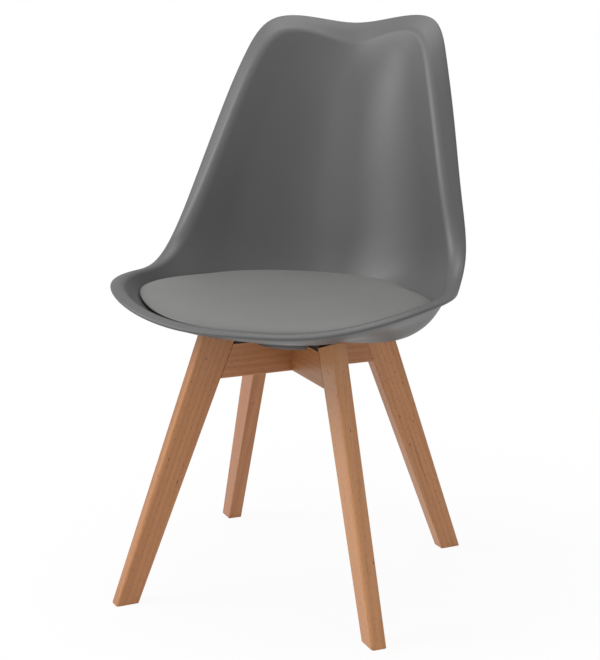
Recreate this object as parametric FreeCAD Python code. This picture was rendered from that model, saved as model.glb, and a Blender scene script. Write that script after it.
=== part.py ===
import FreeCAD, Part
import math
import os
from FreeCAD import Vector

# A moulded shell chair on two crossed beech frames, in millimetres.
# The sitter faces -Y, +X is the sitter's left, and the feet stand on Z = 0.
# Everything is drawn about the line where the two frames cross, and written out moved, so that
# the origin lies on the floor under the middle of the whole chair.

# Beech frames
frame_turn = 46.3           # angle of each frame from the X axis, degrees
board_thickness = 22.0
foot_reach = 284.0          # from the crossing to a foot's outer edge, on the floor
foot_width = 33.2           # along the frame, on the floor
outer_lean = 0.358          # how far the outer edge comes in for each millimetre up
inner_lean = 0.407          # the same for the inner edge
rail_underside = 315.0
rail_depth = 48.0
leg_over_rail = 4.5         # how far a leg's inner top corner stands over the rail
leg_top_slope = 0.33        # rise of a leg's top for each millimetre outwards
outer_edge_round = 4.0
small_edge_round = 1.5
halving_clearance = 0.15    # on each side of the halved joint

# Dowels between leg and rail
dowel_diameter = 8.0
dowel_length = 32.0
dowel_in_rail = 11.0
dowel_clearance = 0.1
dowel_end_gap = 1.0
dowel_chamfer = 0.8
dowel_edge_distance = 12.0  # from the rail's upper and lower edges

# Bolts up through the rails into brass inserts in the shell
bolt_reach = 86.0           # from the crossing to each bolt, along a frame
bolt_diameter = 6.0
bolt_length = 60.0
bolt_head_diameter = 10.0
bolt_head_height = 6.0
bolt_socket_width = 5.0
bolt_socket_depth = 3.5
bolt_head_chamfer = 0.5
bolt_tip_chamfer = 0.8
bolt_clearance = 0.4
counterbore_diameter = 16.0
counterbore_depth = 12.0
flat_washer_diameter = 14.0
flat_washer_thickness = 1.2
lock_washer_diameter = 10.5
lock_washer_thickness = 1.6
lock_washer_gap = 1.2
washer_clearance = 0.2
spacer_thickness = 8.0
spacer_length = 28.0
spacer_round = 2.0
insert_diameter = 10.0
insert_length = 14.0
insert_groove = 0.6
insert_end_gap = 0.5
fit_clearance = 0.05

# Shell
wall = 5.0
shell_width = 490.0
shell_front = 234.0         # front lip, forward of the crossing
shell_back = 260.0          # middle of the top edge, behind the crossing
front_lip_height = 36.0     # rim over the dish floor at the front
side_lip_height = 72.0      # the same beside the sitter
back_height = 437.0         # ears over the dish floor
spine_front = 60.0          # where the middle line starts, forward of the crossing
bend_place = 150.0          # where the floor line meets the back line, behind the crossing
bend_reach = 105.0          # how far the bend runs into the floor and into the back
back_lean = 12.7            # degrees from upright
spine_top = 324.0           # upper end of the middle line, over the dish floor
bend_fullness = 0.8         # 0 is a straight chamfer, 1 hugs the corner
knee_fullness = 0.6
ridge_fullness = 0.8

# How far a rib's three turns run into the straight runs before and after them, at most
knee_before = 0.85
knee_after = 0.75
hollow_before = 0.2
hollow_after = 0.5
ridge_before = 0.45
ridge_after = 0.8

# The rim from the middle of the front to the middle of the top edge, one station a line:
# share of the half width; place from front to back, -1 to 0 forward of the crossing and 0 to 1
# behind it; height, 0 at the front lip, 1 at the side lip and 2 at the ears; share of the middle
# line; knee as a share of the rib; how far the ridge stands inside the rim and above it; and how
# deep the hollow beside the ridge is.
rim_stations = (
    (0.000, -1.000, 0.000, 0.000, 0.24, 9.0, 7.0, 8.5),
    (0.380, -0.948, 0.050, 0.005, 0.26, 9.0, 7.0, 9.5),
    (0.722, -0.812, 0.480, 0.020, 0.36, 10.0, 6.5, 12.0),
    (0.943, -0.560, 0.920, 0.050, 0.46, 12.0, 5.5, 11.0),
    (1.000, -0.209, 1.000, 0.105, 0.74, 13.0, 5.0, 4.0),
    (0.967, 0.042, 1.010, 0.190, 0.70, 14.0, 5.0, 3.0),
    (0.943, 0.246, 1.093, 0.350, 0.50, 17.0, 7.0, 2.0),
    (0.865, 0.415, 1.310, 0.545, 0.48, 22.0, 11.0, 0.0),
    (0.763, 0.585, 1.592, 0.740, 0.46, 25.0, 13.0, 0.0),
    (0.653, 0.758, 1.855, 0.885, 0.44, 27.0, 13.0, 0.0),
    (0.531, 0.892, 1.992, 0.955, 0.42, 29.0, 12.0, 0.0),
    (0.265, 0.977, 2.000, 0.990, 0.40, 32.0, 10.0, 0.0),
    (0.000, 1.000, 1.978, 1.000, 0.40, 34.0, 10.0, 0.0),
)
hollow_place = 0.8          # of the way from the knee to the ridge
ribs_between_stations = 3

# Hub moulded under the dish, with the crossed slot for the frames, and posts in the dish
hub_radius = 66.0
hub_depth = 20.0
hub_dome = 7.0
hub_edge_round = 4.0
hub_core_reach = 42.0
hub_core_diameter = 26.0
hub_core_depth = 12.0
slot_clearance = 0.7
seat_rise = 0.6             # how far the flats for spacers and screws stand below the dish
seat_margin = 2.0
post_diameter = 16.0
screw_post_diameter = 14.0

# Seat cushion
cushion_half_width = 222.0
cushion_front = 200.0
cushion_back = 152.0
cushion_widest = -45.0      # Y of the widest place
front_roundness = 2.3
back_roundness = 1.45
cushion_rest = 12.0         # board over the dish floor
cushion_gap = 1.6           # between cover and shell
edge_height = 9.0
edge_drop = 4.0             # from the crown to the edge of the top, at any one slice
least_edge = 5.0
least_end = 9.0             # half width of the front and back ends, at least
edge_slant = 2.0            # how far the side leans in over its height
crown_power = 2.6           # how late the crown falls off towards the front and the back
foot_share = 0.12           # least and most half width of the flat underside, of the outline's
most_foot_share = 0.8
end_margin = 1.5
crown_front = 37.0          # top over the dish floor at the front edge, the middle, the back
crown_middle = 67.0
crown_back = 55.0
cover_thickness = 1.5
foam_clearance = 0.3
board_radius = 106.0
board_depth = 6.0
cover_opening_radius = 96.0
staple_count = 16
staple_width = 10.0
staple_wire = 1.0
staple_grip = 4.5           # how far the legs reach into the board
screw_reach = 78.0
screw_diameter = 4.0
screw_grip = 5.0
screw_head_diameter = 8.0
screw_head_height = 2.4
screw_cross_arm = 4.4       # the cross recess in the head, from end to end
screw_cross_width = 1.0
screw_cross_depth = 1.2
screw_tip_chamfer = 1.2
screw_clearance = 0.25

rail_top = rail_underside + rail_depth
shell_seat = rail_top + spacer_thickness
dish_floor = shell_seat + seat_rise + wall
board_bottom = dish_floor + cushion_rest
UP = Vector(0, 0, 1)
leg_angles = {
    "front_left": -frame_turn,
    "front_right": frame_turn - 180,
    "rear_left": frame_turn,
    "rear_right": 180 - frame_turn,
}


def cylinder(diameter, height, place, axis=UP):
    return Part.makeCylinder(diameter / 2, height, place, axis)


def box(width, depth, height, middle):
    """A box centred in X and Y on middle, standing on it."""
    corner = Vector(middle.x - width / 2, middle.y - depth / 2, middle.z)
    return Part.makeBox(width, depth, height, corner)


def turned(shape, degrees):
    copy = shape.copy()
    copy.rotate(Vector(0, 0, 0), UP, degrees)
    return copy


def around(shape, angles):
    """Copies of a shape turned about the crossing."""
    return [turned(shape, angle) for angle in angles]


# Curves

def curve_bends(places, values):
    """Second derivatives of the smooth curve through values at places, free at both ends."""
    last = len(places) - 1
    bends = [0.0] * (last + 1)
    terms = [0.0] * (last + 1)
    for i in range(1, last):
        span = places[i + 1] - places[i - 1]
        share = (places[i] - places[i - 1]) / span
        pivot = share * bends[i - 1] + 2
        bends[i] = (share - 1) / pivot
        step_on = (values[i + 1] - values[i]) / (places[i + 1] - places[i])
        step_back = (values[i] - values[i - 1]) / (places[i] - places[i - 1])
        terms[i] = (6 * (step_on - step_back) / span - share * terms[i - 1]) / pivot
    for i in range(last - 1, 0, -1):
        bends[i] = bends[i] * bends[i + 1] + terms[i]
    return bends


def smooth(places, values, bends, where):
    """The smooth curve through values at places, read at one place."""
    i = 1
    while i < len(places) - 1 and places[i] < where:
        i += 1
    width = places[i] - places[i - 1]
    left = (places[i] - where) / width
    right = 1 - left
    bend = (left ** 3 - left) * bends[i - 1] + (right ** 3 - right) * bends[i]
    return left * values[i - 1] + right * values[i] + bend * width ** 2 / 6


def soft_corner(before, corner, after, reach, fullness, steps):
    """Points of a smooth turn at a corner, reach away from it on both sides."""
    back = (before - corner).normalize()
    on = (after - corner).normalize()
    start = corner + back * reach
    end = corner + on * reach
    hold_start = corner + back * reach * (1 - fullness)
    hold_end = corner + on * reach * (1 - fullness)
    points = []
    for i in range(steps + 1):
        s = i / steps
        points.append(start * (1 - s) ** 3 + hold_start * 3 * s * (1 - s) ** 2
                      + hold_end * 3 * s ** 2 * (1 - s) + end * s ** 3)
    return points


def spaced(start, end, steps):
    """Points after start and up to end, evenly spaced."""
    return [start + (end - start) * ((i + 1) / steps) for i in range(steps)]


def lengths_along(points):
    """Distance along a row of points, at each of them."""
    lengths = [0.0]
    for here, there in zip(points, points[1:]):
        lengths.append(lengths[-1] + (there - here).Length)
    return lengths


# Shell

def middle_line():
    """The dish floor, the bend and the back in the plane X = 0, as closely spaced points."""
    lean = math.radians(back_lean)
    start = Vector(0, -spine_front, dish_floor)
    corner = Vector(0, bend_place, dish_floor)
    top = Vector(0, bend_place + spine_top * math.tan(lean), dish_floor + spine_top)
    turn = soft_corner(start, corner, top, bend_reach, bend_fullness, 60)
    return [start] + spaced(start, turn[0], 40) + turn[1:] + spaced(turn[-1], top, 60)


spine_points = middle_line()
spine_lengths = lengths_along(spine_points)


def spine_at(share):
    """A point of the middle line and the direction that the line runs there."""
    length = min(max(share, 0.0), 1.0) * spine_lengths[-1]
    i = 1
    while i < len(spine_points) - 1 and spine_lengths[i] < length:
        i += 1
    step = spine_points[i] - spine_points[i - 1]
    part = (length - spine_lengths[i - 1]) / (spine_lengths[i] - spine_lengths[i - 1])
    return spine_points[i - 1] + step * part, step.normalize()


def rim_place(station):
    """The rim point of a station."""
    across, along, rise = station[:3]
    reach = shell_front if along < 0 else shell_back
    if rise < 1:
        height = front_lip_height + (side_lip_height - front_lip_height) * rise
    else:
        height = side_lip_height + (back_height - side_lip_height) * (rise - 1)
    return (across * shell_width / 2, along * reach, dish_floor + height)


station_values = [rim_place(station) + station[3:] for station in rim_stations]
station_places = lengths_along([Vector(*values[:3]) for values in station_values])
rim_length = station_places[-1]
mirrored = 3                # stations carried over each end, so that both halves meet smoothly
rib_places = [-place for place in station_places[mirrored:0:-1]] + station_places
rib_places += [2 * rim_length - place for place in station_places[-2:-2 - mirrored:-1]]
rib_curves = []
for column in range(len(station_values[0])):
    sign = -1 if column == 0 else 1
    values = [row[column] for row in station_values]
    over_front = [sign * value for value in values[mirrored:0:-1]]
    over_top = [sign * value for value in values[-2:-2 - mirrored:-1]]
    values = over_front + values + over_top
    rib_curves.append((values, curve_bends(rib_places, values)))


def rib(place):
    """The inside and the outside of the shell along one rib, from the middle line to the rim."""
    read = [smooth(rib_places, values, bends, place) for values, bends in rib_curves]
    x, y, z, share, knee, ridge_in, ridge_up, hollow = read
    root, along = spine_at(share)
    square = Vector(0, -along.z, along.y)
    offset = Vector(x, y, z) - root
    rise = offset.dot(square)
    outward = offset - square * rise
    length = outward.Length - wall / 2
    outward.normalize()
    start = Vector(0, 0, 0)
    knee_point = Vector(knee * length, 0, 0)
    ridge = Vector(length - ridge_in, rise + ridge_up, 0)
    rim = Vector(length, rise, 0)
    bottom = knee_point + (ridge - knee_point) * hollow_place - Vector(0, hollow, 0)
    climb = (bottom - knee_point).Length
    last_climb = (ridge - bottom).Length
    knee_reach = min(knee_before * knee_point.x, knee_after * climb)
    hollow_reach = min(hollow_before * climb, hollow_after * last_climb)
    ridge_reach = min(ridge_before * last_climb, ridge_after * (rim - ridge).Length)
    turn = soft_corner(start, knee_point, bottom, knee_reach, knee_fullness, 10)
    dip = soft_corner(knee_point, bottom, ridge, hollow_reach, knee_fullness, 5)
    roll = soft_corner(bottom, ridge, rim, ridge_reach, ridge_fullness, 8)
    inside = [start] + spaced(start, turn[0], 3) + turn[1:] + spaced(turn[-1], dip[0], 2)
    inside += dip[1:] + roll + spaced(roll[-1], rim, 1)
    outside = []
    for i, point in enumerate(inside):
        ahead = inside[min(i + 1, len(inside) - 1)]
        behind = inside[max(i - 1, 0)]
        run = (ahead - behind).normalize()
        outside.append(point + Vector(run.y, -run.x, 0) * wall)
    outside[0] = Vector(0, -wall, 0)
    run = (inside[-1] - inside[-2]).normalize()
    middle = (inside[-1] + outside[-1]) / 2
    for turn_share in (0.25, 0.5, 0.75):
        angle = math.pi * turn_share
        side = (inside[-1] - middle) * math.cos(angle)
        outside.append(middle + side + run * (wall / 2) * math.sin(angle))
    outside[-3:] = outside[:-4:-1]

    def placed(point):
        return root + outward * point.x + square * point.y

    return [placed(point) for point in inside], [placed(point) for point in outside]


def shell_ribs():
    """The ribs of the half shell on the +X side, as pairs of inside and outside points."""
    places = []
    for start, end in zip(station_places, station_places[1:]):
        step = (end - start) / ribs_between_stations
        places += [start + step * j for j in range(ribs_between_stations)]
    ribs = [rib(place) for place in places + [rim_length]]
    for inside, outside in (ribs[0], ribs[-1]):
        for point in inside + outside:
            point.x = 0.0
    return ribs


ribs = shell_ribs()
rib_points = [inside + outside[::-1] for inside, outside in ribs]
front_edge = min(point.y for row in rib_points for point in row)
back_edge = max(point.y for row in rib_points for point in row)
to_origin = Vector(0, -(front_edge + back_edge) / 2, 0)


def save(name, solids):
    """Write one sub-part's solids as a STEP file, about the origin of the whole chair."""
    shape = solids[0] if len(solids) == 1 else Part.Compound(solids)
    shape = shape.copy()
    shape.translate(to_origin)
    shape.exportStep(os.path.join("parts", name + ".step"))


def shared_places(rows):
    """Places from 0 to 1 along rows of points, the mean over all the rows."""
    totals = [0.0] * len(rows[0])
    for row in rows:
        lengths = lengths_along(row)
        for i, length in enumerate(lengths):
            totals[i] += length / lengths[-1] / len(rows)
    return totals


def curve_through(points, places):
    curve = Part.BSplineCurve()
    curve.interpolate(Points=points, Parameters=places)
    return curve


def skin_through(grid):
    """A smooth surface through a grid of points."""
    across = shared_places(grid)
    along = shared_places(list(zip(*grid)))
    rows = [curve_through(row, across) for row in grid]
    columns = [curve_through(list(poles), along) for poles in zip(*[row.getPoles() for row in rows])]
    poles = [list(row) for row in zip(*[column.getPoles() for column in columns])]
    surface = Part.BSplineSurface()
    surface.buildFromPolesMultsKnots(
        poles, columns[0].getMultiplicities(), rows[0].getMultiplicities(),
        columns[0].getKnots(), rows[0].getKnots(), False, False, 3, 3)
    return surface.toShape()


def bare_shell():
    """The shell without anything on it: half of it, closed in the plane X = 0, and its mirror."""
    skin = skin_through(rib_points)
    flat = Part.Face(Part.Wire(Part.__sortEdges__(skin.Edges)))
    half = Part.Solid(Part.Shell([skin, flat]))
    if half.Volume < 0:
        half.reverse()
    return half.fuse(half.mirror(Vector(0, 0, 0), Vector(1, 0, 0)))


bolt_angles = list(leg_angles.values())
screw_angles = [0, 90, 180, 270]


def make_hub():
    """The domed hub under the dish, slotted for the rails and cored out from above."""
    low = shell_seat - hub_depth
    dome_radius = (hub_radius ** 2 + hub_dome ** 2) / (2 * hub_dome)
    ball = Part.makeSphere(dome_radius, Vector(0, 0, low + dome_radius))
    top = shell_seat + seat_rise + wall / 2
    hub = cylinder(2 * hub_radius, top - low, Vector(0, 0, low)).common(ball)
    rim = [edge for edge in hub.Edges if edge.BoundBox.ZMax < shell_seat - hub_edge_round]
    hub = hub.makeFillet(hub_edge_round, [e for e in rim if e.Length > hub_radius * 5])
    slot = box(3 * hub_radius, board_thickness + 2 * slot_clearance, hub_depth, Vector(0, 0, low))
    for angle in (frame_turn, -frame_turn):
        hub = hub.cut(turned(slot, angle))
    return hub


def make_shell():
    shell = bare_shell().fuse(make_hub())
    seat = box(spacer_length + seat_margin, board_thickness + seat_margin, seat_rise + wall / 2,
               Vector(bolt_reach, 0, shell_seat))
    post = cylinder(post_diameter, board_bottom - shell_seat - wall / 2,
                    Vector(bolt_reach, 0, shell_seat + wall / 2))
    screw_post = cylinder(screw_post_diameter, board_bottom - shell_seat,
                          Vector(screw_reach, 0, shell_seat))
    adds = around(seat, bolt_angles) + around(post, bolt_angles)
    adds += around(screw_post, screw_angles)
    for piece in adds:
        shell = shell.fuse(piece)
    core = cylinder(hub_core_diameter, hub_core_depth + wall,
                    Vector(hub_core_reach, 0, dish_floor - hub_core_depth))
    insert_hole = cylinder(insert_diameter + 2 * fit_clearance, insert_length + insert_end_gap,
                           Vector(bolt_reach, 0, shell_seat))
    screw_hole = cylinder(screw_diameter + 2 * screw_clearance, board_bottom, Vector(screw_reach, 0, 0))
    recess = cylinder(screw_head_diameter + 4 * screw_clearance, shell_seat + screw_head_height,
                      Vector(screw_reach, 0, 0))
    cuts = around(core, screw_angles) + around(insert_hole, bolt_angles)
    cuts += around(screw_hole, screw_angles) + around(recess, screw_angles)
    for piece in cuts:
        shell = shell.cut(piece)
    return shell


# Beech frames, drawn in the plane Y = 0 along +X and turned to their places

def outer_at(z):
    return foot_reach - outer_lean * z


def inner_at(z):
    return foot_reach - foot_width - inner_lean * z


def board(corners):
    """A board of the frames' thickness with the given corners in the plane Y = 0."""
    points = [Vector(x, -board_thickness / 2, z) for x, z in corners]
    face = Part.Face(Part.makePolygon(points + points[:1]))
    return face.extrude(Vector(0, board_thickness, 0))


def is_long(edge):
    """True for the edges that run along a board's face, not through its thickness."""
    return abs(edge.BoundBox.YLength) < 0.01


def dowel_places():
    """Middle of each dowel hole on the joint, and the direction from the rail into the leg."""
    into_leg = Vector(1, 0, inner_lean).normalize()
    heights = (rail_underside + dowel_edge_distance, rail_top - dowel_edge_distance)
    return [(Vector(inner_at(z), 0, z), into_leg) for z in heights]


def dowel_holes():
    holes = []
    for place, into_leg in dowel_places():
        start = place - into_leg * (dowel_in_rail + dowel_end_gap)
        length = dowel_length + 2 * dowel_end_gap
        holes.append(cylinder(dowel_diameter + 2 * dowel_clearance, length, start, into_leg))
    return holes


def make_leg():
    top_inner = rail_top + leg_over_rail
    top_outer = top_inner + leg_top_slope * (foot_reach - inner_at(top_inner))
    top_outer /= 1 + leg_top_slope * outer_lean
    leg = board([(inner_at(0), 0), (outer_at(0), 0), (outer_at(top_outer), top_outer),
                 (inner_at(top_inner), top_inner)])
    outer_edges = []
    for edge in leg.Edges:
        if is_long(edge):
            middle = edge.CenterOfMass
            on_outer = abs(middle.x - outer_at(middle.z)) < 0.01
            if on_outer:
                outer_edges.append(edge)
    leg = leg.makeFillet(outer_edge_round, outer_edges)
    small_edges = [edge for edge in leg.Edges if edge.Length > foot_reach
                   and abs(edge.CenterOfMass.x - inner_at(edge.CenterOfMass.z)) < 0.01]
    leg = leg.makeFillet(small_edge_round, small_edges)
    for hole in dowel_holes():
        leg = leg.cut(hole)
    return leg


def make_rail(slot_from_top):
    ends = (inner_at(rail_underside), inner_at(rail_top))
    rail = board([(-ends[0], rail_underside), (ends[0], rail_underside), (ends[1], rail_top),
                  (-ends[1], rail_top)])
    low_edges = [e for e in rail.Edges if is_long(e) and e.BoundBox.ZMax < rail_underside + 0.01]
    rail = rail.makeFillet(small_edge_round, low_edges)
    half = rail_depth / 2 + halving_clearance
    slot_width = board_thickness + 2 * halving_clearance
    bottom = rail_top - half if slot_from_top else rail_underside
    other_rail = -2 * frame_turn if slot_from_top else 2 * frame_turn
    slot = box(2 * board_thickness, slot_width, half, Vector(0, 0, bottom))
    rail = rail.cut(turned(slot, other_rail))
    bolt_hole = cylinder(bolt_diameter + 2 * bolt_clearance, rail_depth,
                         Vector(bolt_reach, 0, rail_underside))
    counterbore = cylinder(counterbore_diameter, counterbore_depth,
                           Vector(bolt_reach, 0, rail_underside))
    for cutter in [bolt_hole, counterbore] + dowel_holes():
        for angle in (0, 180):
            rail = rail.cut(turned(cutter, angle))
    return rail


def make_dowels():
    dowels = []
    for place, into_leg in dowel_places():
        dowel = cylinder(dowel_diameter, dowel_length, place - into_leg * dowel_in_rail, into_leg)
        dowels.append(dowel.makeChamfer(dowel_chamfer, [e for e in dowel.Edges if e.Closed]))
    return dowels


# Bolts, washers, inserts and spacers, drawn at the place on +X

def ring(outer, inner, height, z, x):
    return cylinder(outer, height, Vector(x, 0, z)).cut(cylinder(inner, height, Vector(x, 0, z)))


washer_seat = rail_underside + counterbore_depth
head_top = washer_seat - flat_washer_thickness - lock_washer_thickness


def hexagon(width, height, place):
    """A six-sided prism, width across its flats."""
    corners = []
    for i in range(7):
        angle = math.radians(60 * i)
        reach = width / math.sqrt(3)
        corners.append(place + Vector(reach * math.cos(angle), reach * math.sin(angle), 0))
    return Part.Face(Part.makePolygon(corners)).extrude(UP * height)


def make_bolt():
    low = head_top - bolt_head_height
    head = cylinder(bolt_head_diameter, bolt_head_height, Vector(bolt_reach, 0, low))
    edges = [e for e in head.Edges if e.Closed and e.BoundBox.ZMax < low + 0.01]
    head = head.makeChamfer(bolt_head_chamfer, edges)
    head = head.cut(hexagon(bolt_socket_width, bolt_socket_depth, Vector(bolt_reach, 0, low)))
    shank = cylinder(bolt_diameter, bolt_length, Vector(bolt_reach, 0, head_top))
    tip = head_top + bolt_length
    edges = [e for e in shank.Edges if e.Closed and e.BoundBox.ZMin > tip - 0.01]
    return head.fuse(shank.makeChamfer(bolt_tip_chamfer, edges))


def make_flat_washer():
    return ring(flat_washer_diameter, bolt_diameter + 2 * washer_clearance,
                flat_washer_thickness, washer_seat - flat_washer_thickness, bolt_reach)


def make_lock_washer():
    washer = ring(lock_washer_diameter, bolt_diameter + 2 * washer_clearance,
                  lock_washer_thickness, head_top, bolt_reach)
    middle = Vector(bolt_reach + lock_washer_diameter / 2, 0, head_top)
    gap = box(lock_washer_diameter, lock_washer_gap, lock_washer_thickness, middle)
    return washer.cut(gap)


def make_insert():
    insert = ring(insert_diameter, bolt_diameter + 2 * fit_clearance, insert_length, shell_seat,
                  bolt_reach)
    third = insert_length / 3
    groove = ring(insert_diameter + 2, insert_diameter - 2 * insert_groove, third,
                  shell_seat + third, bolt_reach)
    return insert.cut(groove)


def make_spacer():
    spacer = box(spacer_length, board_thickness - seat_margin, spacer_thickness,
                 Vector(bolt_reach, 0, rail_top))
    upright = [e for e in spacer.Edges if e.BoundBox.ZLength > spacer_thickness / 2]
    spacer = spacer.makeFillet(spacer_round, upright)
    return spacer.cut(cylinder(bolt_diameter + 2 * bolt_clearance, spacer_thickness,
                               Vector(bolt_reach, 0, rail_top)))


# Cushion

def height_in_dish(x, y):
    """Height of the shell's inside over a place in the dish, or None outside it."""
    lowest = None
    for near, far in zip(ribs, ribs[1:]):
        for i in range(len(near[0]) - 1):
            a, b, c, d = near[0][i], near[0][i + 1], far[0][i + 1], far[0][i]
            for p, q, r in ((a, b, c), (a, c, d)):
                area = (q.x - p.x) * (r.y - p.y) - (r.x - p.x) * (q.y - p.y)
                if abs(area) < 1e-9:
                    continue
                u = ((x - p.x) * (r.y - p.y) - (r.x - p.x) * (y - p.y)) / area
                v = ((q.x - p.x) * (y - p.y) - (x - p.x) * (q.y - p.y)) / area
                if u >= -1e-6 and v >= -1e-6 and u + v <= 1 + 1e-6:
                    z = p.z + u * (q.z - p.z) + v * (r.z - p.z)
                    if lowest is None or z < lowest:
                        lowest = z
    return lowest


def cushion_reach(y):
    """Half width of the cushion's outline at a place from front to back."""
    if y < cushion_widest:
        share = (cushion_widest - y) / (cushion_front + cushion_widest)
        power = front_roundness
    else:
        share = (y - cushion_widest) / (cushion_back - cushion_widest)
        power = back_roundness
    return cushion_half_width * (1 - share ** power) ** (1 / power)


def crown_at(y):
    """Height of the crown's middle line."""
    share = -y / cushion_front if y < 0 else y / cushion_back
    end_rise = crown_front if y < 0 else crown_back
    return dish_floor + crown_middle + (end_rise - crown_middle) * share ** crown_power


slice_shares = (0.0, 0.02, 0.06, 0.12, 0.20, 0.30, 0.42, 0.55, 0.68, 0.79, 0.885, 0.94, 0.98, 1.0)


def room_at(x, y):
    """How much higher the dish could be at a place and leave the cushion its least edge."""
    return crown_at(y) - edge_drop - least_edge - cushion_gap - height_in_dish(x, y)


def cushion_slices():
    """The cover's outside at places from front to back: place, half width, height of the side's
    lower and upper edge, height of the crown, and half width and height of the flat underside."""
    start = -cushion_front + end_margin
    end = cushion_back - end_margin
    while room_at(least_end, start) < 0:
        start += 1
    while room_at(least_end, end) < 0:
        end -= 1
    slices = []
    for share in slice_shares:
        y = start + (end - start) * share
        reach = max(cushion_reach(y), least_end)
        high = crown_at(y) - edge_drop
        while room_at(reach, y) < 0:
            reach -= 1
        low = max(height_in_dish(reach, y) + cushion_gap, high - edge_height)
        foot = foot_share * reach
        bottom = max(board_bottom - cover_thickness, height_in_dish(foot, y) + cushion_gap,
                     height_in_dish(0, y) + cushion_gap)
        while foot < most_foot_share * reach and height_in_dish(foot + 2, y) + cushion_gap < bottom:
            foot += 2
        slices.append((y, reach, low, high, crown_at(y), foot, min(bottom, low - 1)))
    return slices


def between(here, there, share):
    return tuple(a + (b - a) * share for a, b in zip(here, there))


def cushion_form(slices, inset):
    """The form through the slices, drawn in by inset all round."""
    first, second, last, last_but_one = slices[0], slices[1], slices[-1], slices[-2]
    front = between(first, second, inset / (second[0] - first[0]))
    back = between(last, last_but_one, inset / (last[0] - last_but_one[0]))
    wires = []
    for y, reach, low, high, crown, foot, bottom in [front] + slices[1:-1] + [back]:
        reach -= inset
        foot = min(foot, reach - 1)
        side = reach - edge_slant
        corners = [Vector(-side, y, high - inset), Vector(-reach, y, low + inset),
                   Vector(-foot, y, bottom + inset), Vector(foot, y, bottom + inset),
                   Vector(reach, y, low + inset), Vector(side, y, high - inset)]
        edges = [Part.makeLine(a, b) for a, b in zip(corners, corners[1:])]
        top = Part.Arc(corners[-1], Vector(0, y, crown - inset), corners[0])
        wires.append(Part.Wire(edges + [top.toShape()]))
    return Part.makeLoft(wires, True, True)


def staple_shape(clearance):
    """One staple at the place on +X, larger all round by clearance."""
    radius = (cover_opening_radius + board_radius) / 2
    low = board_bottom - cover_thickness - staple_wire
    crown = box(staple_wire + 2 * clearance, staple_width + 2 * clearance,
                staple_wire, Vector(radius, 0, low))
    height = staple_wire + cover_thickness + staple_grip + clearance
    for side in (-1, 1):
        place = Vector(radius, side * (staple_width - staple_wire) / 2, low)
        leg = box(staple_wire + 2 * clearance, staple_wire + 2 * clearance, height, place)
        crown = crown.fuse(leg)
    return crown


staple_angles = [360 * (i + 0.5) / staple_count for i in range(staple_count)]


def make_screw():
    head = cylinder(screw_head_diameter, screw_head_height, Vector(screw_reach, 0, shell_seat))
    for width, depth in ((screw_cross_arm, screw_cross_width), (screw_cross_width, screw_cross_arm)):
        head = head.cut(box(width, depth, screw_cross_depth, Vector(screw_reach, 0, shell_seat)))
    top = board_bottom + screw_grip
    start = shell_seat + screw_head_height
    shank = cylinder(screw_diameter, top - start, Vector(screw_reach, 0, start))
    edges = [e for e in shank.Edges if e.Closed and e.BoundBox.ZMin > top - 0.01]
    return head.fuse(shank.makeChamfer(screw_tip_chamfer, edges))


def make_cushion():
    """The cover, the foam and the board."""
    slices = cushion_slices()
    outer = cushion_form(slices, 0)
    cavity = cushion_form(slices, cover_thickness)
    opening = cylinder(2 * cover_opening_radius, 2 * cover_thickness,
                       Vector(0, 0, board_bottom - 1.5 * cover_thickness))
    cover = outer.cut(cavity).cut(opening)
    under_foam = box(2 * shell_width, 2 * shell_width, board_bottom + board_depth, Vector(0, 0, 0))
    foam = cushion_form(slices, cover_thickness + foam_clearance).cut(under_foam)
    plate = cylinder(2 * board_radius, board_depth, Vector(0, 0, board_bottom))
    for hole in around(staple_shape(fit_clearance), staple_angles):
        cover = cover.cut(hole)
        plate = plate.cut(hole)
    screw_hole = cylinder(screw_diameter + 2 * fit_clearance, screw_grip + fit_clearance,
                          Vector(screw_reach, 0, board_bottom))
    for hole in around(screw_hole, screw_angles):
        plate = plate.cut(hole)
    return cover, foam, plate


os.makedirs("parts", exist_ok=True)
save("seat_shell", [make_shell()])
cover, foam, plate = make_cushion()
save("cushion_cover", [cover])
save("cushion_foam", [foam])
save("cushion_board", [plate])
save("cushion_staples", around(staple_shape(0), staple_angles))
save("cushion_screws", around(make_screw(), screw_angles))
leg = make_leg()
dowels = Part.Compound(make_dowels())
for name, angle in leg_angles.items():
    save(name + "_leg", [turned(leg, angle)])
    save(name + "_dowels", turned(dowels, angle).Solids)
save("upper_slot_rail", [turned(make_rail(True), frame_turn)])
save("lower_slot_rail", [turned(make_rail(False), -frame_turn)])
save("spacer_pads", around(make_spacer(), bolt_angles))
save("frame_bolts", around(make_bolt(), bolt_angles))
save("flat_washers", around(make_flat_washer(), bolt_angles))
save("lock_washers", around(make_lock_washer(), bolt_angles))
save("shell_insert_nuts", around(make_insert(), bolt_angles))
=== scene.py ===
import math
import bmesh
import bpy
from mathutils import Matrix, Vector
from mathutils.bvhtree import BVHTree


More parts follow.
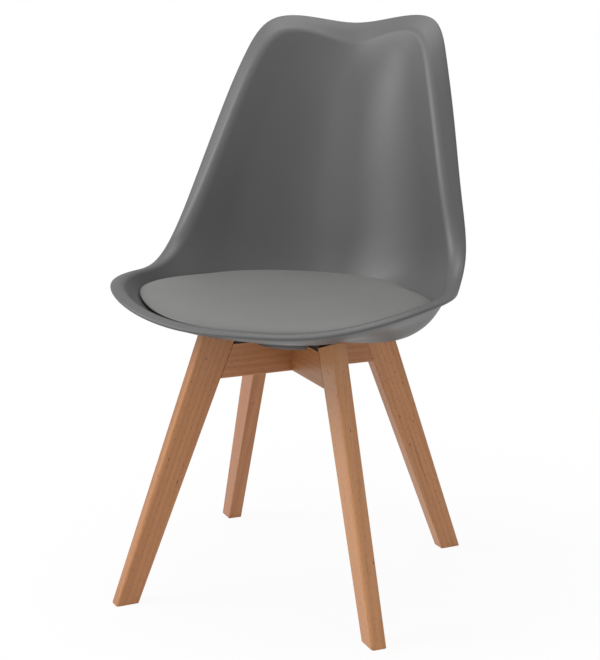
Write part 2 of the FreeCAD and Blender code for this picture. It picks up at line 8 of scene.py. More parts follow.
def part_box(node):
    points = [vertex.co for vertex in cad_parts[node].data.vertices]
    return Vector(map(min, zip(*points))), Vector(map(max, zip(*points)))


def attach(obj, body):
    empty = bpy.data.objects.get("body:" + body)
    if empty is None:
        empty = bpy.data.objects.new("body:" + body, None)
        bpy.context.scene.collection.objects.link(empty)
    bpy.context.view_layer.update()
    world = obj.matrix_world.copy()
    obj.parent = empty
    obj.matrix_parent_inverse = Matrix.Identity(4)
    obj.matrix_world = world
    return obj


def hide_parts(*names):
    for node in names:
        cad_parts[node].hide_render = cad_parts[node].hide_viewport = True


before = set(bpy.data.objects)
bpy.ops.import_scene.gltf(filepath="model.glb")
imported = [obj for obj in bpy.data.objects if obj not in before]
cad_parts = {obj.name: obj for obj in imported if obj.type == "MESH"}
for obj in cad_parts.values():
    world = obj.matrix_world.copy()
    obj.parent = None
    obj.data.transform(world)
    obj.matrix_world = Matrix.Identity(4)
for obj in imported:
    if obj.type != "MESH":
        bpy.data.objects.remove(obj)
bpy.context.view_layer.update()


# Beech frames
# Four splayed legs and two crossed rails, sawn from 22 mm steamed beech, dowelled and glued, then
# sanded round at the edges and given a clear satin lacquer. They stand as the CAD model has them.

class Signal:
    """A value between two shader nodes, on which sums and products can be written."""

    def __init__(self, finish, socket):
        self.finish = finish
        self.socket = socket

    def combine(self, operation, first, second):
        return self.finish.add("ShaderNodeMath", {"operation": operation}, {0: first, 1: second})

    def __add__(self, other):
        return self.combine("ADD", self, other)

    def __radd__(self, other):
        return self.combine("ADD", other, self)

    def __sub__(self, other):
        return self.combine("SUBTRACT", self, other)

    def __rsub__(self, other):
        return self.combine("SUBTRACT", other, self)

    def __mul__(self, other):
        return self.combine("MULTIPLY", self, other)

    def __rmul__(self, other):
        return self.combine("MULTIPLY", other, self)


class Finish:
    """A surface finish in the making."""

    def __init__(self, name):
        self.material = bpy.data.materials.new(name)
        self.material.use_nodes = True
        self.tree = self.material.node_tree
        self.tree.nodes.clear()

    def add(self, kind, settings=None, inputs=None, out=0):
        node = self.tree.nodes.new(kind)
        for name, value in (settings or {}).items():
            if name == "stops":
                ramp = node.color_ramp.elements
                while len(ramp) < len(value):
                    ramp.new(0.5)
                for stop, (place, shade) in zip(ramp, value):
                    stop.position = place
                    stop.color = (shade, shade, shade, 1) if isinstance(shade, float) else (*shade, 1)
            else:
                setattr(node, name, value)
        for name, value in (inputs or {}).items():
            if isinstance(value, Signal):
                self.tree.links.new(value.socket, node.inputs[name])
            elif isinstance(value, tuple) and len(value) == 3 and node.inputs[name].type == "RGBA":
                node.inputs[name].default_value = (*value, 1)
            else:
                node.inputs[name].default_value = value
        return Signal(self, node.outputs[out]) if node.outputs else None

    def place(self, matrix=Matrix.Identity(4), stretch=(1, 1, 1)):
        """Object coordinates in a piece's own directions, stretched."""
        spot = self.add("ShaderNodeTexCoord", out="Object")
        turned = self.add("ShaderNodeMapping", {"vector_type": "POINT"}, {
            "Vector": spot, "Location": matrix.to_translation(),
            "Rotation": matrix.to_euler()})
        return self.add("ShaderNodeVectorMath", {"operation": "MULTIPLY"},
                        {0: turned, 1: stretch})

    def noise(self, spot, scale, detail=3.0, roughness=0.5, warp=0.0):
        return self.add("ShaderNodeTexNoise", {}, {
            "Vector": spot, "Scale": scale, "Detail": detail, "Roughness": roughness,
            "Distortion": warp})

    def ramp(self, value, *stops):
        return self.add("ShaderNodeValToRGB", {"stops": stops}, {"Fac": value})

    def blend(self, factor, first, second):
        return self.add("ShaderNodeMix", {"data_type": "RGBA"},
                        {0: factor, 6: first, 7: second}, out=2)

    def bump(self, height, strength, distance, under=None):
        inputs = {"Height": height, "Strength": strength, "Distance": distance}
        if under:
            inputs["Normal"] = under
        return self.add("ShaderNodeBump", {}, inputs)

    def done(self, **inputs):
        names = {key.replace("_", " "): value for key, value in inputs.items()}
        shader = self.add("ShaderNodeBsdfPrincipled", {}, names)
        self.add("ShaderNodeOutputMaterial", {}, {"Surface": shader})
        return self.material


def dress(node, material):
    """Give a CAD node its finish."""
    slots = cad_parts[node].data.materials
    slots.clear()
    slots.append(material)


beech_pale = (0.55, 0.252, 0.100)
beech_deep = (0.38, 0.142, 0.044)
beech_fleck = (0.17, 0.062, 0.022)
beech_pore = (0.07, 0.026, 0.011)


def beech(name, directions, seed, tone=0.0):
    """Steamed beech with its grain along the first of the directions. A tone over 0 is paler; for the
    legs and rails the tone is painted light and shade, each board lighter or darker by how it is lit.
    """
    finish = Finish(name)
    matrix = Matrix(directions).to_4x4()
    matrix.translation = Vector(seed)
    along = finish.place(matrix)
    warp = finish.noise(finish.place(matrix, (1.1, 20.0, 20.0)), 1.0, 2.0)
    through = finish.add("ShaderNodeSeparateXYZ", {}, {"Vector": along}, out="Y")
    across = finish.add("ShaderNodeSeparateXYZ", {}, {"Vector": along}, out="Z")
    ring_phase = across * 700.0 + through * 330.0 + warp * 15.0
    rings = finish.add("ShaderNodeMath", {"operation": "SINE"}, {0: ring_phase}) * 0.5 + 0.5
    fibre = finish.noise(finish.place(matrix, (5.0, 900.0, 900.0)), 1.0, 4.0, 0.62)
    broad = finish.noise(finish.place(matrix, (1.8, 34.0, 34.0)), 1.0, 3.0, 0.5, 0.3)
    shade = finish.ramp(rings * 0.09 + fibre * 0.42 + broad * 0.50 + tone,
                        (0.34, beech_deep), (0.70, beech_pale))
    fleck_noise = finish.noise(finish.place(matrix, (150.0, 1500.0, 620.0)), 1.0, 1.0, 0.4)
    flecks = finish.ramp(fleck_noise, (0.60, 0.0), (0.72, 1.0))
    shade = finish.blend(flecks * 0.42, shade, beech_fleck)
    streak_noise = finish.noise(finish.place(matrix, (7.0, 260.0, 260.0)), 1.0, 1.0, 0.4, 0.2)
    streaks = finish.ramp(streak_noise, (0.70, 0.0), (0.78, 1.0))
    shade = finish.blend(streaks * 0.40, shade, beech_fleck)
    pore_cells = finish.add("ShaderNodeTexVoronoi", {"feature": "F1"},
                            {"Vector": finish.place(matrix, (28.0, 90.0, 90.0)), "Scale": 1.0})
    pores = finish.ramp(pore_cells, (0.055, 1.0), (0.085, 0.0))
    shade = finish.blend(pores * 0.85, shade, beech_pore)
    gloss = 0.36 + fibre * 0.16
    grain = finish.bump(fibre * 0.6 - pores * 0.9 + rings * 0.1, 0.16, 0.0005)
    return finish.done(Base_Color=shade, Roughness=gloss, Normal=grain, Coat_Weight=0.15,
                       Coat_Roughness=0.25, IOR=1.5)


crossing = sum(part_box("upper_slot_rail"), Vector()) / 2     # middle of the rails
leg_slope = math.atan(0.38)
dowel_slope = math.atan(0.407)
frame_turn = 46.3
frame_angles = {"front_left": -frame_turn, "front_right": frame_turn - 180,
                "rear_left": frame_turn, "rear_right": 180 - frame_turn}
# Painted light and shade: each leg's beech is made paler or darker by how it is lit, the near
# front_left leg palest.
painted_leg_light = {"front_left": 0.20, "front_right": 0.0, "rear_left": 0.05, "rear_right": -0.05}


def board_directions(angle, tilt):
    """Directions of a board in a frame: along it, through it and across it."""
    out = Vector((math.cos(angle), math.sin(angle), 0))
    through = Vector((-math.sin(angle), math.cos(angle), 0))
    up = Vector((0, 0, 1))
    along = out * math.cos(tilt) + up * math.sin(tilt)
    return along, through, along.cross(through)


for number, (corner, degrees) in enumerate(frame_angles.items()):
    lean = board_directions(math.radians(degrees), math.pi / 2 + leg_slope)
    seed = (number * 1.37, number * 0.31, 0.2)
    dress(corner + "_leg", beech("beech_" + corner, lean, seed, painted_leg_light[corner]))
    slant = board_directions(math.radians(degrees), dowel_slope)
    dress(corner + "_dowels", beech("dowel_" + corner, slant, (0.5, number * 0.11, 0.3), 0.1))
for number, (node, side) in enumerate((("upper_slot_rail", 1), ("lower_slot_rail", -1))):
    flat = board_directions(math.radians(frame_turn * side), 0)
    # Painted shade: the rails' beech is made a little darker, for the shade under the dish.
    dress(node, beech("beech_" + node, flat, (number * 0.77 + 0.4, 0.21, number * 0.13), -0.04))


# Bolts, washers and inserts
# Zinc-plated steel bolts with their washers go up through the rails into brass inserts in the
# shell, and black nylon spacers stand between the rails and the dish. All are bought parts.

def metal(name, tint, roughness):
    finish = Finish(name)
    scratches = finish.noise(finish.place(stretch=(900.0, 900.0, 90.0)), 1.0, 3.0)
    stains = finish.noise(finish.place(), 160.0, 2.0)
    shade = finish.blend(stains * 0.35, tint, tuple(0.72 * part for part in tint))
    return finish.done(Base_Color=shade, Metallic=1.0, Roughness=roughness + scratches * 0.18,
                       Normal=finish.bump(scratches, 0.08, 0.0002))


zinc = metal("zinc_plated_steel", (0.62, 0.62, 0.60), 0.24)
brass = metal("turned_brass", (0.78, 0.57, 0.27), 0.22)
for node in ("frame_bolts", "flat_washers", "lock_washers", "cushion_screws", "cushion_staples"):
    dress(node, zinc)
dress("shell_insert_nuts", brass)

nylon = Finish("black_nylon")
pad_grain = nylon.noise(nylon.place(), 2400.0, 2.0)
dress("spacer_pads", nylon.done(
    Base_Color=nylon.blend(pad_grain, (0.012, 0.012, 0.012), (0.026, 0.026, 0.027)),
    Roughness=0.5 + pad_grain * 0.15, Normal=nylon.bump(pad_grain, 0.15, 0.0002)))


# Seat shell
# One satin polypropylene moulding: a dish, wings and a back with two ears, rolled over at its
# edge. A domed hub under the dish is slotted for the rails, and posts in it carry the fixings.

mm = 0.001
wall = 5.0
dish_floor = 376.6
shell_seat = 371.0
half_width = 245.0
front_reach = 234.0
back_reach = 260.0
spine_front = 60.0                     # start of the middle line, forward of the crossing
bend_place = 150.0                     # where floor and back lines meet, behind the crossing
bend_reach = 105.0
bend_fullness = 0.8
spine_top = 324.0
back_lean = math.radians(12.7)
lip_heights = (36.0, 72.0, 437.0)      # front lip, side lip and ears, over the dish floor
rim_stations = (
    (0.000, -1.000, 0.000, 0.000, 0.24, 9.0, 7.0, 8.5),
    (0.380, -0.948, 0.050, 0.005, 0.26, 9.0, 7.0, 9.5),
    (0.722, -0.812, 0.480, 0.020, 0.36, 10.0, 6.5, 12.0),
    (0.943, -0.560, 0.920, 0.050, 0.46, 12.0, 5.5, 11.0),
    (1.000, -0.209, 1.000, 0.105, 0.74, 13.0, 5.0, 4.0),
    (0.967, 0.042, 1.010, 0.190, 0.70, 14.0, 5.0, 3.0),
    (0.943, 0.246, 1.093, 0.350, 0.50, 17.0, 7.0, 2.0),
    (0.865, 0.415, 1.310, 0.545, 0.48, 22.0, 11.0, 0.0),
    (0.763, 0.585, 1.592, 0.740, 0.46, 25.0, 13.0, 0.0),
    (0.653, 0.758, 1.855, 0.885, 0.44, 27.0, 13.0, 0.0),
    (0.531, 0.892, 1.992, 0.955, 0.42, 29.0, 12.0, 0.0),
    (0.265, 0.977, 2.000, 0.990, 0.40, 32.0, 10.0, 0.0),
    (0.000, 1.000, 1.978, 1.000, 0.40, 34.0, 10.0, 0.0),
)


def curve_bends(places, values):
    """Second derivatives of the smooth curve through values at places."""
    last = len(places) - 1
    bends = [0.0] * (last + 1)
    terms = [0.0] * (last + 1)
    for i in range(1, last):
        span = places[i + 1] - places[i - 1]
        share = (places[i] - places[i - 1]) / span
        pivot = share * bends[i - 1] + 2
        bends[i] = (share - 1) / pivot
        step_on = (values[i + 1] - values[i]) / (places[i + 1] - places[i])
        step_back = (values[i] - values[i - 1]) / (places[i] - places[i - 1])
        terms[i] = (6 * (step_on - step_back) / span - share * terms[i - 1]) / pivot
    for i in range(last - 1, 0, -1):
        bends[i] = bends[i] * bends[i + 1] + terms[i]
    return bends


class Curve:
    """A smooth curve through points at places, carried over both ends as its mirror image."""

    def __init__(self, places, rows, signs):
        end = places[-1]
        self.places = [-p for p in places[3:0:-1]] + list(places)
        self.places += [2 * end - p for p in places[-2:-5:-1]]
        self.columns = []
        for column, sign in enumerate(signs):
            values = [row[column] for row in rows]
            values = [sign * v for v in values[3:0:-1]] + values + [sign * v for v in values[-2:-5:-1]]
            self.columns.append((values, curve_bends(self.places, values)))

    def at(self, where):
        i = 1
        while i < len(self.places) - 1 and self.places[i] < where:
            i += 1
        width = self.places[i] - self.places[i - 1]
        left = (self.places[i] - where) / width
        right = 1 - left
        found = []
        for values, bends in self.columns:
            bend = (left ** 3 - left) * bends[i - 1] + (right ** 3 - right) * bends[i]
            found.append(left * values[i - 1] + right * values[i] + bend * width ** 2 / 6)
        return found


def soft_corner(before, corner, after, reach, fullness, steps):
    """Points of a smooth turn at a corner, reach away from it on both sides."""
    back = (before - corner).normalized()
    on = (after - corner).normalized()
    hold = reach * (1 - fullness)
    points = []
    for i in range(steps + 1):
        s = i / steps
        points.append((corner + back * reach) * (1 - s) ** 3
                      + (corner + back * hold) * 3 * s * (1 - s) ** 2
                      + (corner + on * hold) * 3 * s ** 2 * (1 - s)
                      + (corner + on * reach) * s ** 3)
    return points


def spaced(start, end, steps):
    return [start + (end - start) * ((i + 1) / steps) for i in range(steps)]


def lengths_along(points):
    lengths = [0.0]
    for here, there in zip(points, points[1:]):
        lengths.append(lengths[-1] + (there - here).length)
    return lengths


def middle_line():
    """The dish floor, the bend and the back in the plane X = 0."""
    start = Vector((0, -spine_front, dish_floor))
    corner = Vector((0, bend_place, dish_floor))
    top = Vector((0, bend_place + spine_top * math.tan(back_lean), dish_floor + spine_top))
    turn = soft_corner(start, corner, top, bend_reach, bend_fullness, 60)
    return [start] + spaced(start, turn[0], 40) + turn[1:] + spaced(turn[-1], top, 60)


spine = middle_line()
spine_lengths = lengths_along(spine)


def spine_at(share):
    length = min(max(share, 0.0), 1.0) * spine_lengths[-1]
    i = 1
    while i < len(spine) - 1 and spine_lengths[i] < length:
        i += 1
    part = (length - spine_lengths[i - 1]) / (spine_lengths[i] - spine_lengths[i - 1])
    step = spine[i] - spine[i - 1]
    return spine[i - 1] + step * part, step.normalized()


def rim_place(station):
    across, along, rise = station[:3]
    front, side, ears = lip_heights
    height = front + (side - front) * rise if rise < 1 else side + (ears - side) * (rise - 1)
    reach = front_reach if along < 0 else back_reach
    return across * half_width, along * reach, dish_floor + height


stations = [rim_place(station) + station[3:] for station in rim_stations]
station_places = lengths_along([Vector(station[:3]) for station in stations])
rim = Curve(station_places, stations, (-1, 1, 1, 1, 1, 1, 1, 1))


knee_before, knee_after = 0.85, 0.75    # how far each turn of a rib may run, of its two sides
hollow_before, hollow_after = 0.2, 0.5
ridge_before, ridge_after = 0.45, 0.8
turn_fullness = 0.6
roll_fullness = 0.55


def rib(place):
    """Points of one rib: up the inside of the shell, round its edge and back down the outside."""
    x, y, z, share, knee, ridge_in, ridge_up, hollow = rim.at(place)
    root, along = spine_at(share)
    square = Vector((0, -along.z, along.y))
    offset = Vector((x, y, z)) - root
    rise = offset.dot(square)
    outward = offset - square * rise
    length = outward.length - wall / 2
    outward.normalize()
    start = Vector((0, 0))
    knee_point = Vector((knee * length, 0))
    ridge = Vector((length - ridge_in, rise + ridge_up))
    edge = Vector((length, rise))
    bottom = knee_point + (ridge - knee_point) * 0.8 - Vector((0, hollow))
    climb = (bottom - knee_point).length
    last_climb = (ridge - bottom).length
    knee_reach = min(knee_before * knee_point.x, knee_after * climb)
    dip_reach = min(hollow_before * climb, hollow_after * last_climb)
    roll_length = min(ridge_after * (edge - ridge).length, ridge_before * last_climb)
    turn = soft_corner(start, knee_point, bottom, knee_reach, turn_fullness, 16)
    dip = soft_corner(knee_point, bottom, ridge, dip_reach, turn_fullness, 6)
    roll = soft_corner(bottom, ridge, edge, roll_length, roll_fullness, 12)
    inside = [start] + spaced(start, turn[0], 5) + turn[1:] + spaced(turn[-1], dip[0], 4)
    inside += dip[1:] + spaced(dip[-1], roll[0], 2) + roll[1:] + spaced(roll[-1], edge, 2)
    outside = []
    for i, point in enumerate(inside):
        run = (inside[min(i + 1, len(inside) - 1)] - inside[max(i - 1, 0)]).normalized()
        outside.append(point + Vector((run.y, -run.x)) * wall)
    outside[0] = Vector((0, -wall))
    run = (inside[-1] - inside[-2]).normalized()
    middle = (inside[-1] + outside[-1]) / 2
    rounded = []
    for part in range(1, 6):
        angle = math.pi * part / 6
        rounded.append(middle + (inside[-1] - middle) * math.cos(angle)
                       + run * (wall / 2) * math.sin(angle))
    flat = inside + rounded + outside[::-1]
    return [root + outward * p.x + square * p.y for p in flat]


def to_world(point):
    """From millimetres about the crossing of the rails to the frame."""
    return Vector((point.x, point.y, point.z)) * mm + Vector((0, crossing.y, 0))


def mesh_object(name, points, faces, smooth=True):
    mesh = bpy.data.meshes.new(name)
    mesh.from_pydata([tuple(point) for point in points], [], faces)
    mesh.update()
    piece = bpy.data.objects.new(name, mesh)
    bpy.context.scene.collection.objects.link(piece)
    if smooth:
        mesh.shade_smooth()
    return piece


def tidy_mesh(piece, merge):
    """Merge points that meet and turn all faces outwards."""
    work = bmesh.new()
    work.from_mesh(piece.data)
    bmesh.ops.remove_doubles(work, verts=work.verts, dist=merge)
    bmesh.ops.dissolve_degenerate(work, edges=work.edges, dist=merge / 4)
    bmesh.ops.recalc_face_normals(work, faces=work.faces)
    work.to_mesh(piece.data)
    work.free()


ribs_a_station = 8
rib_places = []
for start, end in zip(station_places, station_places[1:]):
    rib_places += [start + (end - start) * j / ribs_a_station for j in range(ribs_a_station)]
rib_places.append(station_places[-1])
shell_points = []
for side in (1, -1):
    for place in rib_places:
        row = rib(place)
        shell_points += [to_world(Vector((p.x * side, p.y, p.z))) for p in row]
row_length = len(row)
shell_faces = []
for side in range(2):
    for i in range(len(rib_places) - 1):
        base = (side * len(rib_places) + i) * row_length
        for j in range(row_length - 1):
            shell_faces.append((base + j, base + j + 1,
                                base + row_length + j + 1, base + row_length + j))
shell = mesh_object("seat_shell_moulding", shell_points, shell_faces)
tidy_mesh(shell, 2e-5)


def carve(piece, tool, operation):
    """Join a tool to a piece, or cut it out, and drop the tool."""
    change = piece.modifiers.new("carve", "BOOLEAN")
    change.operation = operation
    change.solver = "EXACT"
    change.object = tool
    held = bpy.context.evaluated_depsgraph_get()
    result = bpy.data.meshes.new_from_object(piece.evaluated_get(held))
    piece.modifiers.remove(change)
    piece.data = result
    bpy.data.objects.remove(tool)


def ring_faces(rings, steps):
    """Faces between rings of points, each of as many steps."""
    return [(j * steps + i, j * steps + (i + 1) % steps,
             (j + 1) * steps + (i + 1) % steps, (j + 1) * steps + i)
            for j in range(rings - 1) for i in range(steps)]


def lathe(name, profile, centre=(0, 0), steps=96):
    """A closed turned shape from a profile of radius and height, first and last on the axis."""
    points = []
    for radius, height in profile:
        for i in range(steps):
            angle = 2 * math.pi * i / steps
            points.append(to_world(Vector((centre[0] + radius * math.cos(angle),
                                           centre[1] + radius * math.sin(angle), height))))
    piece = mesh_object(name, points, ring_faces(len(profile), steps))
    tidy_mesh(piece, 1e-6)
    return piece


def block(name, width, depth, low, high, reach, degrees):
    """A straight-sided block, reach out from the crossing and turned with its frame."""
    turn = Matrix.Rotation(math.radians(degrees), 3, "Z")
    points = []
    for z in (low, high):
        for x, y in ((-1, -1), (1, -1), (1, 1), (-1, 1)):
            flat = turn @ Vector((reach + x * width / 2, y * depth / 2, 0))
            points.append(to_world(Vector((flat.x, flat.y, z))))
    faces = [(3, 2, 1, 0), (4, 5, 6, 7), (0, 1, 5, 4), (1, 2, 6, 5), (2, 3, 7, 6), (3, 0, 4, 7)]
    return mesh_object(name, points, faces, smooth=False)


def polar(reach, degrees):
    return reach * math.cos(math.radians(degrees)), reach * math.sin(math.radians(degrees))


hub_radius = 66.0
hub_depth = 20.0
hub_low = shell_seat - hub_depth
hub_edge = 4.0
dome_rise = 7.0
dome = (hub_radius ** 2 + dome_rise ** 2) / (2 * dome_rise)
slot_width = 23.4
bolt_reach = 86.0               # from the crossing, as the screws' and cores' below
bolt_post_radius = 8.0
screw_reach = 78.0
screw_post_radius = 7.0
core_reach = 42.0
core_radius = 13.0
seat_height = 3.0               # of the flat seats that the spacers stand against
post_top = 388.6                # the cushion's board rests there
insert_hole_radius = 5.05
insert_hole_top = 385.5
hub_profile = [(0.0, hub_low)]
for i in range(1, 15):
    radius = (hub_radius - hub_edge) * i / 14
    hub_profile.append((radius, hub_low + dome - math.sqrt(dome ** 2 - radius ** 2)))
rise = hub_profile[-1][1]
for i in range(1, 7):
    angle = math.pi / 2 * i / 6
    hub_profile.append((hub_radius - hub_edge + hub_edge * math.sin(angle),
                        rise + hub_edge * (1 - math.cos(angle))))
hub_profile += [(hub_radius, shell_seat + 1.5), (0.0, shell_seat + 1.5)]
hub = lathe("hub", hub_profile)
bolt_angles = (frame_turn, 180 - frame_turn, 180 + frame_turn, -frame_turn)
for degrees in (frame_turn, -frame_turn):
    carve(hub, block("slot", 200, slot_width, hub_low - 5, shell_seat, 0, degrees), "DIFFERENCE")
carve(shell, hub, "UNION")
for degrees in bolt_angles:
    seat_top = shell_seat + seat_height
    seat = block("seat", 30, 24, shell_seat, seat_top, bolt_reach, degrees)
    carve(shell, seat, "UNION")
    post = [(0.0, seat_top), (bolt_post_radius, seat_top),
            (bolt_post_radius, post_top), (0.0, post_top)]
    carve(shell, lathe("post", post, polar(bolt_reach, degrees), 32), "UNION")
for degrees in (0, 90, 180, 270):
    post = [(0.0, shell_seat), (screw_post_radius, shell_seat),
            (screw_post_radius, post_top), (0.0, post_top)]
    carve(shell, lathe("post", post, polar(screw_reach, degrees), 32), "UNION")
for degrees in (0, 90, 180, 270):
    core = [(0.0, 364.6), (core_radius, 364.6), (core_radius, 380.0), (0.0, 380.0)]
    carve(shell, lathe("core", core, polar(core_reach, degrees), 48), "DIFFERENCE")
    hole = [(0.0, 370.0), (4.5, 370.0), (4.5, 373.4), (2.25, 373.4), (2.25, 390.0), (0.0, 390.0)]
    carve(shell, lathe("hole", hole, polar(screw_reach, degrees), 32), "DIFFERENCE")
for degrees in bolt_angles:
    hole = [(0.0, 370.0), (insert_hole_radius, 370.0),
            (insert_hole_radius, insert_hole_top), (0.0, insert_hole_top)]
    carve(shell, lathe("hole", hole, polar(bolt_reach, degrees), 32), "DIFFERENCE")
shell.data.shade_smooth()
shell.data.set_sharp_from_angle(angle=math.radians(40))

plastic = Finish("satin_polypropylene")
spot = plastic.place()
mottle = plastic.noise(spot, 9.0, 3.0)
cloud = plastic.noise(spot, 60.0, 4.0, 0.6)
spark = plastic.noise(spot, 1500.0, 2.0, 0.6)
flow = plastic.noise(plastic.place(stretch=(5.0, 30.0, 5.0)), 1.0, 3.0, 0.5, 0.6)
grey = plastic.blend(mottle * 0.5 + cloud * 0.3, (0.092, 0.092, 0.092), (0.108, 0.108, 0.108))
grey = plastic.blend(spark * 0.2, grey, (0.14, 0.14, 0.14))
fine = plastic.bump(spark, 0.10, 0.00025)
shell_finish = plastic.done(
    Base_Color=grey, Roughness=0.40 + cloud * 0.08 + flow * 0.05, IOR=1.49,
    Normal=plastic.bump(flow * 0.6 + mottle * 0.4, 0.05, 0.002, fine))
shell.data.materials.clear()
shell.data.materials.append(shell_finish)
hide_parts("seat_shell")
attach(shell, "root")


# Seat cushion
# Moulded foam on a round plywood board, wrapped in soft grey imitation leather that is stapled
# under the board. Here it is one closed form with a flat underside, the board inside it.

cushion_half_width = 222.0
cushion_front = 200.0
cushion_back = 152.0
cushion_widest = -45.0
front_roundness = 2.3
back_roundness = 1.45
cushion_floor = 387.1               # flat underside, just under the board
crown_front, crown_middle, crown_back = 413.6, 443.6, 431.6     # heights of the top
crown_power = 2.6
side_fall = 4.0                     # how much lower the top is at the sides
cloth_gap = 1.6                     # from the dish up to the cover, posts left aside
side_edge = 5.0
front_edge = 13.0                   # the rolled edge is deepest at the front
roll_reach = 36.0                   # how far in the rolled edge starts
edge_share = 0.38                   # height of the edge's fullest line, of its thickness
roll_power = 2.4
tuck_reach = roll_reach * 0.35       # how far in the underside tucks under
around = 144

shell_tree = BVHTree.FromObject(shell, bpy.context.evaluated_depsgraph_get())


def dish_below(place):
    """Height of the shell's inside under a place, in the part's millimetres."""
    spot = to_world(place)
    heights = [600.0]
    for aside in (-0.0004, 0.0003, 0.0007):     # beside the mesh's middle seam, never along it
        hit = shell_tree.ray_cast(Vector((spot.x + aside, spot.y, 0.6)), Vector((0, 0, -1)))
        if hit[0]:
            heights.append(hit[0].z / mm)
    return min(heights)


def cushion_reach(y):
    """Half width of the cushion at a place from front to back."""
    if y < cushion_widest:
        share, power = (cushion_widest - y) / (cushion_front + cushion_widest), front_roundness
    else:
        share, power = (y - cushion_widest) / (cushion_back - cushion_widest), back_roundness
    return cushion_half_width * max(0.0, 1 - share ** power) ** (1 / power)


def crown_at(place):
    """Height of the full crown over a place."""
    front = place.y < 0
    share = -place.y / cushion_front if front else place.y / cushion_back
    end = crown_front if front else crown_back
    sideways = place.x / cushion_half_width
    return crown_middle + (end - crown_middle) * share ** crown_power - side_fall * sideways ** 2


cushion_middle = Vector((0, -25, 0))
reaches = []
for i in range(around):
    ray = Vector(polar(1, 360 * i / around)).to_3d()
    reach = 60.0
    least_edge = side_edge + (front_edge - side_edge) * max(0.0, -ray.y)
    place = cushion_middle + ray * reach
    while (abs(place.x) < cushion_reach(place.y)
           and crown_at(place) - dish_below(place) > cloth_gap + least_edge):
        reach += 1
        place = cushion_middle + ray * reach
    reaches.append(reach)
for _ in range(30):
    reaches = [(reaches[i - 1] + 2 * reaches[i] + reaches[(i + 1) % around]) / 4
               for i in range(around)]

upper = [i / 16 for i in range(12)]
upper += [0.72 + 0.28 * math.sin(math.pi / 2 * i / 12) for i in range(1, 13)]
lower = [0.995, 0.985, 0.97, 0.95, 0.92, 0.88, 0.82, 0.74, 0.64, 0.5, 0.35, 0.2, 0.0]
cushion_points = []
for side, shares in (("top", upper), ("under", lower)):
    for share in shares:
        for i in range(around):
            ray = Vector(polar(1, 360 * i / around)).to_3d()
            reach = reaches[i]
            place = cushion_middle + ray * reach * share
            rim = cushion_middle + ray * reach
            rim_low = dish_below(rim) + cloth_gap
            edge_middle = rim_low + edge_share * (crown_at(rim) - rim_low)
            if side == "top":
                inward = max(0.0, 1 - reach * (1 - share) / roll_reach)
                drop = (crown_at(rim) - edge_middle) * (1 - math.sqrt(1 - inward ** roll_power))
                place.z = crown_at(place) - drop
            else:
                inward = max(0.0, 1 - reach * (1 - share) / tuck_reach)
                least = max(dish_below(place) + cloth_gap, cushion_floor)
                tuck = edge_middle * inward + least * (1 - inward) if inward > 0 else least
                place.z = max(tuck, least)
            cushion_points.append(to_world(place))
cushion_faces = ring_faces(len(upper) + len(lower), around)
cushion = mesh_object("seat_cushion", cushion_points, cushion_faces)
tidy_mesh(cushion, 1e-5)
cushion.data.shade_smooth()

leather = Finish("grey_imitation_leather")
spot = leather.place()
cells = leather.add("ShaderNodeTexVoronoi", {"feature": "DISTANCE_TO_EDGE"},
                    {"Vector": leather.place(stretch=(1.0, 1.25, 1.0)), "Scale": 620.0})
creases = leather.ramp(cells, (0.0, 0.0), (0.16, 1.0))
pebble = leather.noise(spot, 900.0, 3.0, 0.6)
tone = leather.noise(spot, 12.0, 3.0)
skin = leather.blend(tone, (0.150, 0.153, 0.146), (0.176, 0.178, 0.170))
# Painted shade: the grain's creases are darkened in the colour.
skin = leather.blend((1 - creases) * 0.25, skin, (0.10, 0.10, 0.096))
cushion.data.materials.append(leather.done(
    Base_Color=skin, Roughness=0.46 + pebble * 0.14, IOR=1.46,
    Normal=leather.bump(creases * 0.7 + pebble * 0.5, 0.16, 0.0004)))
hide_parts("cushion_cover", "cushion_foam")
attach(cushion, "root")

plywood = Finish("plywood")
layers = plywood.noise(plywood.place(stretch=(3.0, 90.0, 900.0)), 1.0, 3.0)
dress("cushion_board", plywood.done(
    Base_Color=plywood.blend(layers, (0.40, 0.26, 0.15), (0.60, 0.44, 0.28)),
    Roughness=0.6 + layers * 0.1, Normal=plywood.bump(layers, 0.2, 0.0004)))


# Floor, lights and camera
# A white studio sweep with broad soft lights: the key from the left, one over the top, a weak fill.

floor_mesh = bpy.data.meshes.new("floor")
floor_mesh.from_pydata([(-6, -6, 0), (6, -6, 0), (6, 6, 0), (-6, 6, 0)], [], [(0, 1, 2, 3)])
floor = bpy.data.objects.new("floor", floor_mesh)
bpy.context.scene.collection.objects.link(floor)
paper = Finish("white_paper")
paths = paper.tree.nodes.new("ShaderNodeLightPath")
seen = paper.add("ShaderNodeMath", {"operation": "MAXIMUM"}, {
    0: Signal(paper, paths.outputs["Is Camera Ray"]),
    1: Signal(paper, paths.outputs["Is Glossy Ray"])})
away = paper.add("ShaderNodeVectorMath", {"operation": "LENGTH"}, {0: paper.place()}, out="Value")
fade = paper.ramp(away, (0.35, 0.93), (0.95, 1.0))
paper_shade = paper.add("ShaderNodeBsdfDiffuse", {}, {"Color": (0.82, 0.82, 0.82)})
glow = paper.add("ShaderNodeEmission", {}, {"Color": (1.0, 1.0, 1.0), "Strength": 1.0})
paper.add("ShaderNodeOutputMaterial", {}, {"Surface": paper.add(
    "ShaderNodeMixShader", {}, {0: seen * fade, 1: paper_shade, 2: glow})})
floor_mesh.materials.append(paper.material)

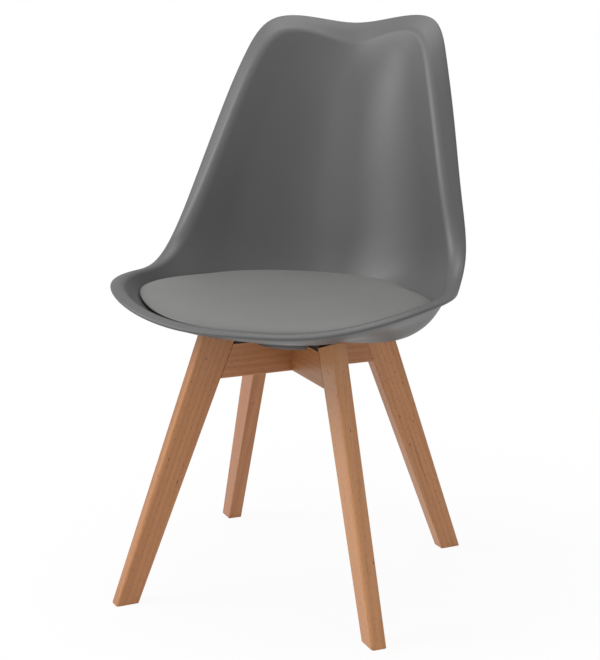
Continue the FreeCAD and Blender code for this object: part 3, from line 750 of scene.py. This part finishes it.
world = bpy.data.worlds.new("studio")
bpy.context.scene.world = world
world.use_nodes = True
sky = world.node_tree
sky.nodes.clear()
sky_paths = sky.nodes.new("ShaderNodeLightPath")
sky_seen = sky.nodes.new("ShaderNodeMath")
sky_seen.operation = "MAXIMUM"
sky.links.new(sky_paths.outputs["Is Camera Ray"], sky_seen.inputs[0])
sky.links.new(sky_paths.outputs["Is Transmission Ray"], sky_seen.inputs[1])
sky_white = sky.nodes.new("ShaderNodeBackground")
sky_white.inputs["Color"].default_value = (1, 1, 1, 1)
sky_light = sky.nodes.new("ShaderNodeBackground")
sky_light.inputs["Color"].default_value = (1, 1, 1, 1)
sky_light.inputs["Strength"].default_value = 0.55
sky_mix = sky.nodes.new("ShaderNodeMixShader")
sky.links.new(sky_seen.outputs[0], sky_mix.inputs[0])
sky.links.new(sky_light.outputs[0], sky_mix.inputs[1])
sky.links.new(sky_white.outputs[0], sky_mix.inputs[2])
sky_out = sky.nodes.new("ShaderNodeOutputWorld")
sky.links.new(sky_mix.outputs[0], sky_out.inputs[0])


def softbox(name, place, aim, size, watts):
    light = bpy.data.lights.new(name, "AREA")
    light.shape = "RECTANGLE"
    light.size, light.size_y = size
    light.energy = watts
    lamp = bpy.data.objects.new(name, light)
    lamp.location = place
    lamp.rotation_euler = (Vector(aim) - Vector(place)).to_track_quat("-Z", "Y").to_euler()
    bpy.context.scene.collection.objects.link(lamp)


softbox("key", (-2.2, -1.2, 2.0), (0, 0, 0.5), (1.2, 1.2), 47)
softbox("top", (-0.2, 0.1, 2.8), (0, 0, 0.4), (1.6, 1.6), 26)
softbox("fill", (2.4, -1.6, 1.2), (0, 0, 0.5), (1.4, 1.8), 6)

picture_width, picture_height = 600, 660
focal_length = 1381.1               # in pixels
centre_x, centre_y = 261.8, 329.0   # where the line of sight meets the picture
sight = bpy.data.cameras.new("camera")
camera = bpy.data.objects.new("camera", sight)
bpy.context.scene.collection.objects.link(camera)
forward = Vector((-0.3626, 0.9064, -0.2168)).normalized()
right = forward.cross(Vector((0, 0, 1))).normalized()
up = right.cross(forward)
turn = Matrix((right, up, -forward)).transposed().to_4x4()
turn.translation = Vector((0.6762, -1.8228 + crossing.y, 0.8048))
camera.matrix_world = turn
sight.sensor_width = 36.0
sight.lens = focal_length * 36.0 / picture_height
sight.shift_x = (picture_width / 2 - centre_x) / picture_height
sight.shift_y = (centre_y - picture_height / 2) / picture_height
bpy.context.scene.camera = camera
bpy.context.scene.view_settings.view_transform = "Standard"
